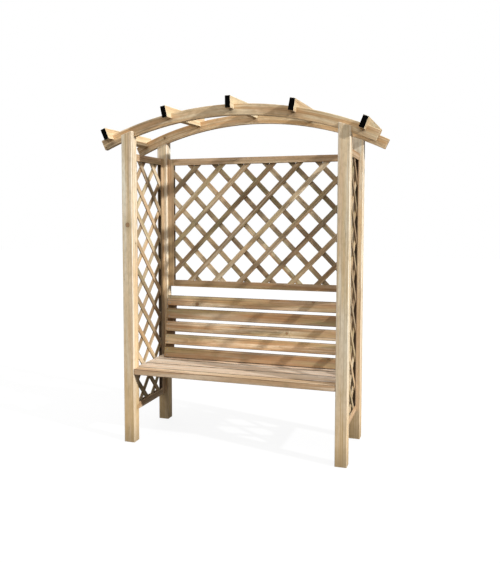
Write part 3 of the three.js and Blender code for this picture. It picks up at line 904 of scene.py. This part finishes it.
# Selects the faces that pass a test, and stays in edit mode
def pick(piece, test):
    bpy.ops.object.mode_set(mode="OBJECT")
    only(piece)
    bpy.ops.object.mode_set(mode="EDIT")
    bpy.ops.mesh.select_mode(type="FACE")
    bpy.ops.mesh.select_all(action="DESELECT")
    bpy.ops.object.mode_set(mode="OBJECT")
    for face in piece.data.polygons:
        face.select = test(face)
    bpy.ops.object.mode_set(mode="EDIT")


def drawOut(step, share=1.0):
    bpy.ops.mesh.extrude_region_move(TRANSFORM_OT_translate={"value": (0, 0, step)})
    bpy.ops.transform.resize(value=(share, share, 1))


def crownTop(piece, thickness, rise):
    pick(piece, facesUp)
    bpy.ops.mesh.inset(thickness=thickness)
    bpy.ops.transform.translate(value=(0, 0, rise))
    bpy.ops.object.mode_set(mode="OBJECT")


def addRound(name, sides, radius, top, bottom):
    bpy.ops.object.select_all(action="DESELECT")
    bpy.ops.mesh.primitive_cylinder_add(
        vertices=sides, radius=radius, depth=top - bottom, location=(0, 0, (top + bottom) / 2))
    bpy.ops.object.transform_apply(location=True)
    bpy.context.object.name = name
    return bpy.context.object


def makeScrew():
    size = screwShape
    screw = addRound("screw model", size["sides"], size["headRadius"], -size["rim"], -2 * size["rim"])
    pick(screw, facesDown)
    drawOut(2 * size["rim"] - size["headDepth"], size["shankRadius"] / size["headRadius"])
    drawOut(size["headDepth"] + size["pointLength"] - size["length"])
    drawOut(-size["pointLength"], size["pointShare"])
    crownTop(screw, size["crownInset"], size["rim"])

    cross = addCuboid("cross", (size["crossWidth"], size["crossWidth"], 2 * size["crossDepth"]))
    pick(cross, facesSideways)
    bpy.ops.mesh.extrude_faces_move(
        TRANSFORM_OT_shrink_fatten={"value": size["crossReach"] - size["crossWidth"] / 2})
    pick(cross, facesDown)
    bpy.ops.transform.resize(value=(size["crossTaper"], size["crossTaper"], 1))
    bpy.ops.object.mode_set(mode="OBJECT")
    applyModifier(screw, "BOOLEAN", operation="DIFFERENCE", object=cross, solver="EXACT")
    bpy.data.objects.remove(cross)
    return screw


def makeCoachScrew():
    size = coachShape
    washerBottom = -size["headHeight"] - size["washerHeight"]
    washer = addRound("washer", size["sides"], size["washerRadius"], -size["headHeight"], washerBottom)
    applyModifier(washer, "BEVEL", width=size["washerBevel"], segments=bevelSegments, limit_method="ANGLE")
    head = addRound("coach head", size["headSides"], size["headRadius"], -size["chamfer"], -size["headHeight"])
    crownTop(head, size["crownInset"], size["chamfer"])
    applyModifier(head, "BEVEL", width=size["headBevel"], segments=bevelSegments, limit_method="ANGLE",
                  angle_limit=math.radians(size["headBevelOver"]))
    shankTop = washerBottom + size["washerHeight"] / 2
    shank = addRound("shank", size["sides"], size["shankRadius"], shankTop, size["pointLength"] - size["length"])
    pick(shank, facesDown)
    drawOut(-size["pointLength"], size["pointShare"])
    bpy.ops.object.mode_set(mode="OBJECT")
    return joined([washer, head, shank], "coach screw model")


def makeStaple():
    size = stapleShape
    staple = addCuboid("staple model", (size["crown"], size["width"], size["thickness"]))
    applyModifier(staple, "BEVEL", width=size["bevel"], segments=bevelSegments, limit_method="ANGLE")
    return staple


# A copy of a model with its top at a point and its axis turned outwards, its shank made longer or shorter first
def placed(model, name, top, outward, turn=0.0, scale=1.0, longer=0.0):
    copy = bpy.data.objects.new(name, model.data.copy())
    bpy.context.collection.objects.link(copy)
    for vertex in copy.data.vertices:
        if vertex.co.z < -placing["keptDepth"]:
            vertex.co.z -= longer
    turned = outward.to_track_quat("Z", "Y").to_matrix().to_4x4()
    copy.data.transform(Matrix.Translation(top) @ turned @ Matrix.Rotation(turn, 4, "Z") @ Matrix.Scale(scale, 4))
    return copy


# Where a packed screw sits: the middle of its head's top, the way out of the wood, and its length
def screwPlace(node):
    points = {tuple(round(share, placing["decimals"]) for share in vertex.co) for vertex in nodes[node].data.vertices}
    points = [Vector(point) for point in points]
    middle = sum(points, Vector()) / len(points)
    tip = max(points, key=lambda point: (point - middle).length)
    reach = max((point - tip).length for point in points)
    rim = [point for point in points if (point - tip).length > reach - placing["rimDepth"]]
    top = sum(rim, Vector()) / len(rim)
    return top, (top - tip).normalized(), (top - tip).length


def finishFastener(piece, *replaced):
    smoothFaces(piece)
    finishPiece(piece, dullZinc, "fastener_steel", *replaced)


def dressScrew(node, number):
    top, outward, length = screwPlace(node)
    coach = node.startswith(("bearer", "upright"))
    model, size = (coachModel, coachShape) if coach else (screwModel, screwShape)
    piece = placed(model, node + "_head", top, outward, number * placing["screwTurn"],
                   longer=length - size["length"])
    finishFastener(piece, node)


screwModel, coachModel, stapleModel = makeScrew(), makeCoachScrew(), makeStaple()
screwNodes = [node for node in sorted(nodes) if "screw" in node]
for number, node in enumerate(screwNodes):
    dressScrew(node, number)
print("packed screws dressed:", len(screwNodes))


# Screws that only this model has: seat boards, backrest boards and trellis panels
boardScrews = {
    "scale": 0.75,
    "length": 0.045,
    "proud": 0.0003,
    "seatShares": (-0.27, 0.27),    # of a board's width
    "backrestSteps": (-0.02, 0.02),
    "panelShares": (-0.38, 0, 0.38),    # of a stile's length
    "panelInset": 0.013,
    "panelLean": 35,    # degrees
}


def addScrewSet(name, places):
    longer = boardScrews["length"] / boardScrews["scale"] - screwShape["length"]
    screws = []
    for number, (point, outward) in enumerate(places):
        top = point + boardScrews["proud"] * outward
        turn = number * placing["setTurn"]
        screws.append(placed(screwModel, name, top, outward, turn, boardScrews["scale"], longer))
    finishFastener(joined(screws, name))


def screwSeatBoards():
    bearerX = middleOf("seat_bearer_right").x
    for number in (1, 2, 3):
        low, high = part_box(f"seat_board_{number}")
        middleY, width = (low.y + high.y) / 2, high.y - low.y
        places = [(Vector((side * bearerX, middleY + share * width, high.z)), zAxis)
                  for side in (-1, 1) for share in boardScrews["seatShares"]]
        addScrewSet(f"seat_board_{number}_screws", places)


def screwBackrest():
    uprightX = middleOf("backrest_upright_right").x
    # a board's thickness, from the box round it as it leans
    low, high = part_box("backrest_board_1")
    size, lean = high - low, math.tan(backrestRake)
    width = (size.z - size.y * lean) / (math.cos(backrestRake) - math.sin(backrestRake) * lean)
    thickness = (size.y - width * math.sin(backrestRake)) / math.cos(backrestRake)
    for number in (1, 2, 3, 4, 5):
        face = middleOf(f"backrest_board_{number}") + thickness / 2 * backrestOut
        places = [(Vector((side * uprightX, face.y, face.z)) + step * backrestUp, backrestOut)
                  for side in (-1, 1) for step in boardScrews["backrestSteps"]]
        addScrewSet(f"backrest_board_{number}_screws", places)


# Driven at a slant through each stile's outer face into the post beside it
def panelScrewPlaces(panel, node):
    low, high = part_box(node)
    middle, lean = (low + high) / 2, math.radians(boardScrews["panelLean"])
    side, end = math.copysign(1, middle.x), math.copysign(1, middle.y)
    outerX, outerY = max(abs(low.x), abs(high.x)), max(abs(low.y), abs(high.y))
    if panel == "back":
        x, y = side * (outerX - boardScrews["panelInset"]), high.y
        outward = Vector((-side * math.sin(lean), math.cos(lean), 0))
    else:
        x, y = side * outerX, end * (outerY - boardScrews["panelInset"])
        outward = Vector((side * math.cos(lean), -end * math.sin(lean), 0))
    return [(Vector((x, y, middle.z + share * (high.z - low.z))), outward) for share in boardScrews["panelShares"]]


def screwPanels():
    for panel in trellisPanels:
        stiles = [node for node in sorted(nodes) if node.startswith(panel) and node.endswith("_stile")]
        addScrewSet(panel + "_panel_screws", [place for node in stiles for place in panelScrewPlaces(panel, node)])


# A staple at each crossing, on the side away from the sitter
def stapleTrellis(panel):
    halfWidth, halfHeight, place = panelSpace(panel)
    slope = trellisPanels[panel]["frontSlope"] * trellis["meshHeight"] / trellis["meshWidth"]
    onFirstFace = panel == "right"
    depth = 0 if onFirstFace else trellis["slatThickness"] + trellis["layerStep"]
    outward = Vector((0, -1 if onFirstFace else 1, 0))
    clearX, clearZ = [half - trellis["grooveDepth"] - stapleShape["margin"] for half in (halfWidth, halfHeight)]
    crossings = slatCrossings(halfWidth, halfHeight)
    staples = []
    for first in crossings:
        for second in crossings:
            x, z = (first + second) / 2, slope * (second - first) / 2
            if abs(x) < clearX and abs(z) < clearZ:
                swing = math.sin(stapleShape["spreadAcross"] * x + stapleShape["spreadUp"] * z)
                turn = math.radians(stapleShape["spread"] * swing)
                staples.append(placed(stapleModel, panel, Vector((x, depth, z)), outward, turn))
    whole = joined(staples, panel + "_staples")
    whole.data.transform(place)
    finishFastener(whole)
    return len(staples)


screwSeatBoards()
screwBackrest()
screwPanels()
stapleCount = sum(stapleTrellis(panel) for panel in trellisPanels)
for model in (screwModel, coachModel, stapleModel):
    bpy.data.objects.remove(model)
print("staples:", stapleCount)


# Floor, light and camera. Angles are in degrees, and each lamp shines from its direction
studio = {
    "floorSize": 40,
    "floorTone": 0.08,
    "floorGlow": 0.86,
    "skyEdge": 0.12,
    "skyTop": 0.90,
    "lamps": {
        "key light": {"strength": 3.3, "softness": 1.5, "from": (0.882, -0.252, 0.397)},
        "fill light": {"strength": 1.0, "softness": 60, "from": (0.10, -0.74, 0.66)},
        "back light": {"strength": 0.9, "softness": 60, "from": (-0.45, 0.80, 0.40)},
    },
}
viewpoint = {
    "place": (1.37725, -4.30165, 1.5434),
    "turn": 18.687,
    "tilt": -4.054,
    "lens": 42.776,
    "shift": (0.02908, -0.03519),
}


# Rays of the camera, mirrors and glass, which see a white room
def seenRays(tree):
    seen = put(tree, "ShaderNodeLightPath").outputs
    mirrored = calc(tree, "MAXIMUM", seen["Is Glossy Ray"], seen["Is Transmission Ray"])
    return calc(tree, "MAXIMUM", seen["Is Camera Ray"], mirrored)


def makeFloor():
    bpy.ops.object.select_all(action="DESELECT")
    bpy.ops.mesh.primitive_plane_add(size=studio["floorSize"])
    floor = bpy.context.object
    floor.name = "floor"
    material, tree = emptyMaterial("pale floor")
    seen = seenRays(tree)
    paintColour = mix(tree, seen, (studio["floorTone"],) * 3 + (1,), white)
    paint = put(tree, "ShaderNodeBsdfDiffuse", {"Color": paintColour})
    glow = put(tree, "ShaderNodeEmission", {"Color": white, "Strength": 1.0})
    share = times(tree, seen, studio["floorGlow"])
    both = put(tree, "ShaderNodeMixShader", {0: share, 1: paint.outputs[0], 2: glow.outputs[0]})
    put(tree, "ShaderNodeOutputMaterial", {"Surface": both.outputs[0]})
    floor.data.materials.append(material)


def makeLamps():
    for name, values in studio["lamps"].items():
        bpy.ops.object.light_add(type="SUN")
        sun = bpy.context.object
        sun.name = name
        sun.data.energy = values["strength"]
        sun.data.angle = math.radians(values["softness"])
        sun.rotation_euler = Vector(values["from"]).to_track_quat("Z", "Y").to_euler()


def makeSky():
    world = bpy.data.worlds.new("studio")
    bpy.context.scene.world = world
    world.use_nodes = True
    tree = world.node_tree
    tree.nodes.clear()
    sky = put(tree, "ShaderNodeMapRange", {
        "Value": xyzOf(tree, objectPlace(tree))[2], "From Max": 1.0,
        "To Min": studio["skyEdge"], "To Max": studio["skyTop"]}).outputs[0]
    seen = seenRays(tree)
    strength = plus(tree, times(tree, sky, calc(tree, "SUBTRACT", 1.0, seen)), seen)
    background = put(tree, "ShaderNodeBackground", {"Color": white, "Strength": strength})
    put(tree, "ShaderNodeOutputWorld", {"Surface": background.outputs[0]})


def makeCamera():
    bpy.ops.object.camera_add(location=viewpoint["place"], rotation=(
        math.radians(90 + viewpoint["tilt"]), 0, math.radians(viewpoint["turn"])))
    camera = bpy.context.object
    camera.data.lens = viewpoint["lens"]
    camera.data.shift_x, camera.data.shift_y = viewpoint["shift"]
    bpy.context.scene.camera = camera


makeFloor()
makeLamps()
makeSky()
makeCamera()
bpy.context.scene.view_settings.view_transform = "Standard"
print("studio set")
